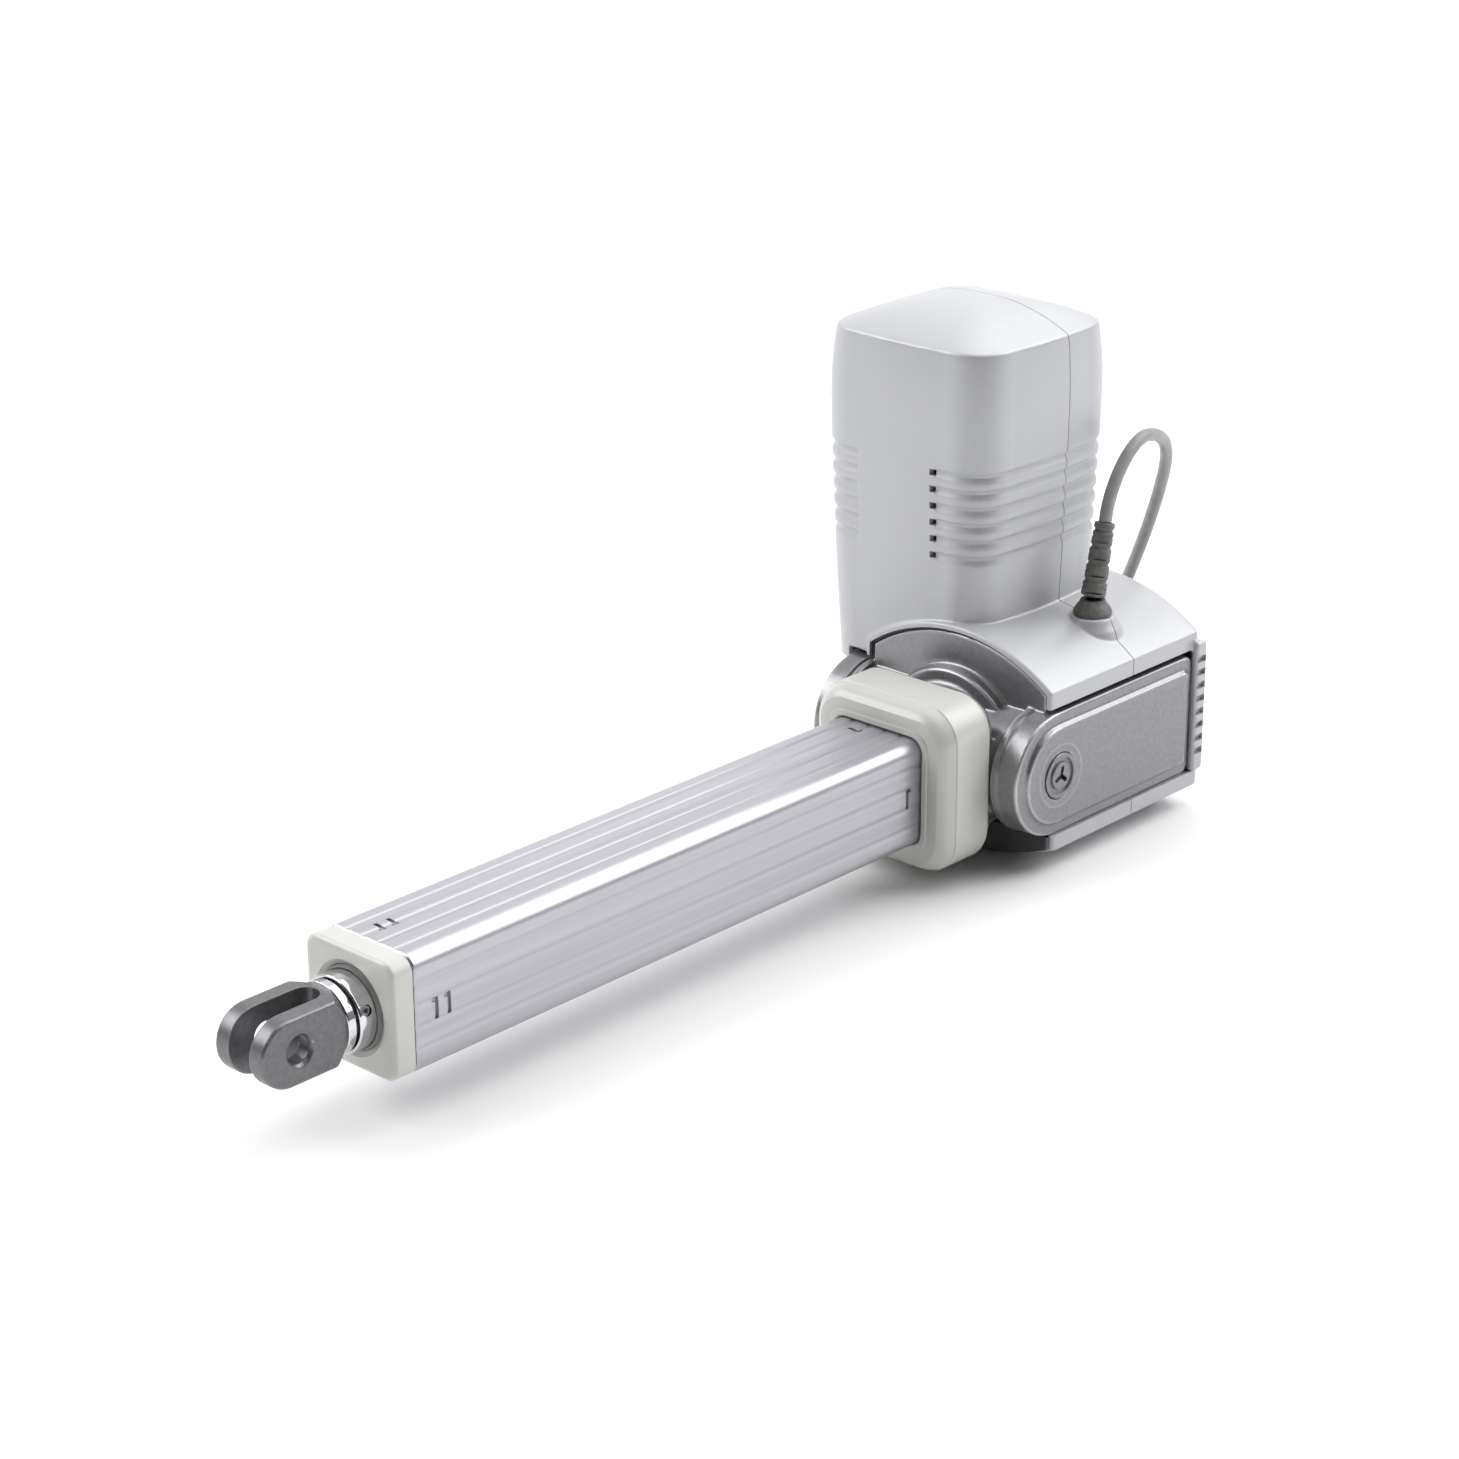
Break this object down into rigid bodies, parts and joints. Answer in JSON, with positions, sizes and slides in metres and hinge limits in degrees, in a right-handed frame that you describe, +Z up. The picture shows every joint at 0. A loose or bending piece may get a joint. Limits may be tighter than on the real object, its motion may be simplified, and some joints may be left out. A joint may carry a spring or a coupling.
{
  "type": "linear actuator",
  "caption": "Electric linear actuator: square aluminium tube, push tube with front fork, worm gearbox, upright motor hood, rear fork and mains-type lead.",
  "frame": {"origin": "middle of the machine's footprint without its cord, on the surface its bottom cover rests on", "axes": "+X along the spindle from the gearbox to the front fork, +Z up along the motor, +Y to the side without the motor"},
  "size_m": [0.7058, 0.2007, 0.258],
  "materials": {
    "hood_plastic": "moulded light grey plastic, fine satin texture",
    "cap_plastic": "glass filled plastic, warm light grey, satin",
    "gear_casting": "die-cast aluminium, bead blasted",
    "extrusion": "extruded aluminium, clear anodised, satin",
    "chrome_tube": "ground and polished tube",
    "dark_casting": "dark phosphated casting",
    "machined_steel": "turned steel",
    "bearing_bronze": "sintered bronze",
    "seal_rubber": "black nitrile rubber",
    "gland_rubber": "dark grey rubber",
    "cord_sheath": "grey PVC sheath, matt",
    "black_plastic": "black moulded plastic",
    "winding_copper": "enamelled copper",
    "magnet_ferrite": "ferrite and laminated iron",
    "board": "glass fibre circuit board",
    "nylon": "natural nylon or acetal"
  },
  "bodies": {
    "root": {"outer_profile": "extrusion", "front_end_cap": "cap_plastic", "front_guide_bush": "nylon", "wiper_seal": "seal_rubber", "front_bearing_outer_ring": "machined_steel", "rear_bush": "bearing_bronze", "rear_collar": "cap_plastic", "gear_housing": "gear_casting", "housing_rear_plate": "gear_casting", "boss_plug_near": "gear_casting", "boss_plug_far": "gear_casting", "hood_front_half": "hood_plastic", "hood_rear_half": "hood_plastic", "bottom_cover_front": "hood_plastic", "bottom_cover_rear": "hood_plastic", "front_lower_guard": "black_plastic", "motor_can": "machined_steel", "motor_end_cap": "black_plastic", "magnet_near": "magnet_ferrite", "magnet_far": "magnet_ferrite", "brush_near": "magnet_ferrite", "brush_far": "magnet_ferrite", "worm_bush": "bearing_bronze", "motor_bearing_outer_ring": "machined_steel", "circuit_board": "board", "switch_strip": "board", "rear_fork": "dark_casting", "rear_fork_nut": "machined_steel", "cable_gland": "gland_rubber", "strain_relief": "gland_rubber", "cord_run": "cord_sheath", "cord_coil": "cord_sheath", "cord_plug": "black_plastic", "cable_tie": "black_plastic", "collar_screw_1": "machined_steel", "collar_screw_2": "machined_steel", "collar_screw_3": "machined_steel", "collar_screw_4": "machined_steel", "plate_screw_1": "machined_steel", "plate_screw_2": "machined_steel", "plate_screw_3": "machined_steel", "bottom_screw_1": "machined_steel", "bottom_screw_2": "machined_steel"},
    "armature": {"worm_shaft": "machined_steel", "armature_core": "magnet_ferrite", "armature_winding": "winding_copper", "commutator": "winding_copper", "motor_bearing_inner_ring": "machined_steel"},
    "spindle": {"spindle_screw": "machined_steel", "spindle_tip_guide": "nylon", "worm_wheel": "nylon", "wheel_flange": "machined_steel", "spindle_lock_nut": "machined_steel", "front_bearing_inner_ring": "machined_steel"},
    "push_rod": {"push_tube": "chrome_tube", "rod_end_ring": "chrome_tube", "front_clevis": "dark_casting", "set_screw": "machined_steel", "drive_nut": "bearing_bronze", "guide_shoe": "nylon"}
  },
  "joints": [
    {"name": "motor_spin", "type": "hinge", "parent": "root", "child": "armature", "pos_m": [-0.198, -0.02445, 0.05], "axis": [0, 0, -1], "range_deg": [0, 324000]},
    {"name": "spindle_spin", "type": "hinge", "parent": "root", "child": "spindle", "pos_m": [-0.198, 0.01555, 0.05], "axis": [-1, 0, 0], "range_deg": [0, 9000]},
    {"name": "push_tube_slide", "type": "slide", "parent": "root", "child": "push_rod", "axis": [1, 0, 0], "range_m": [0, 0.25]}
  ],
  "couplings": [
    {"joint": "motor_spin", "follows": "push_tube_slide", "rad_per_m": 22619},
    {"joint": "spindle_spin", "follows": "push_tube_slide", "rad_per_m": 628.32}
  ]
}
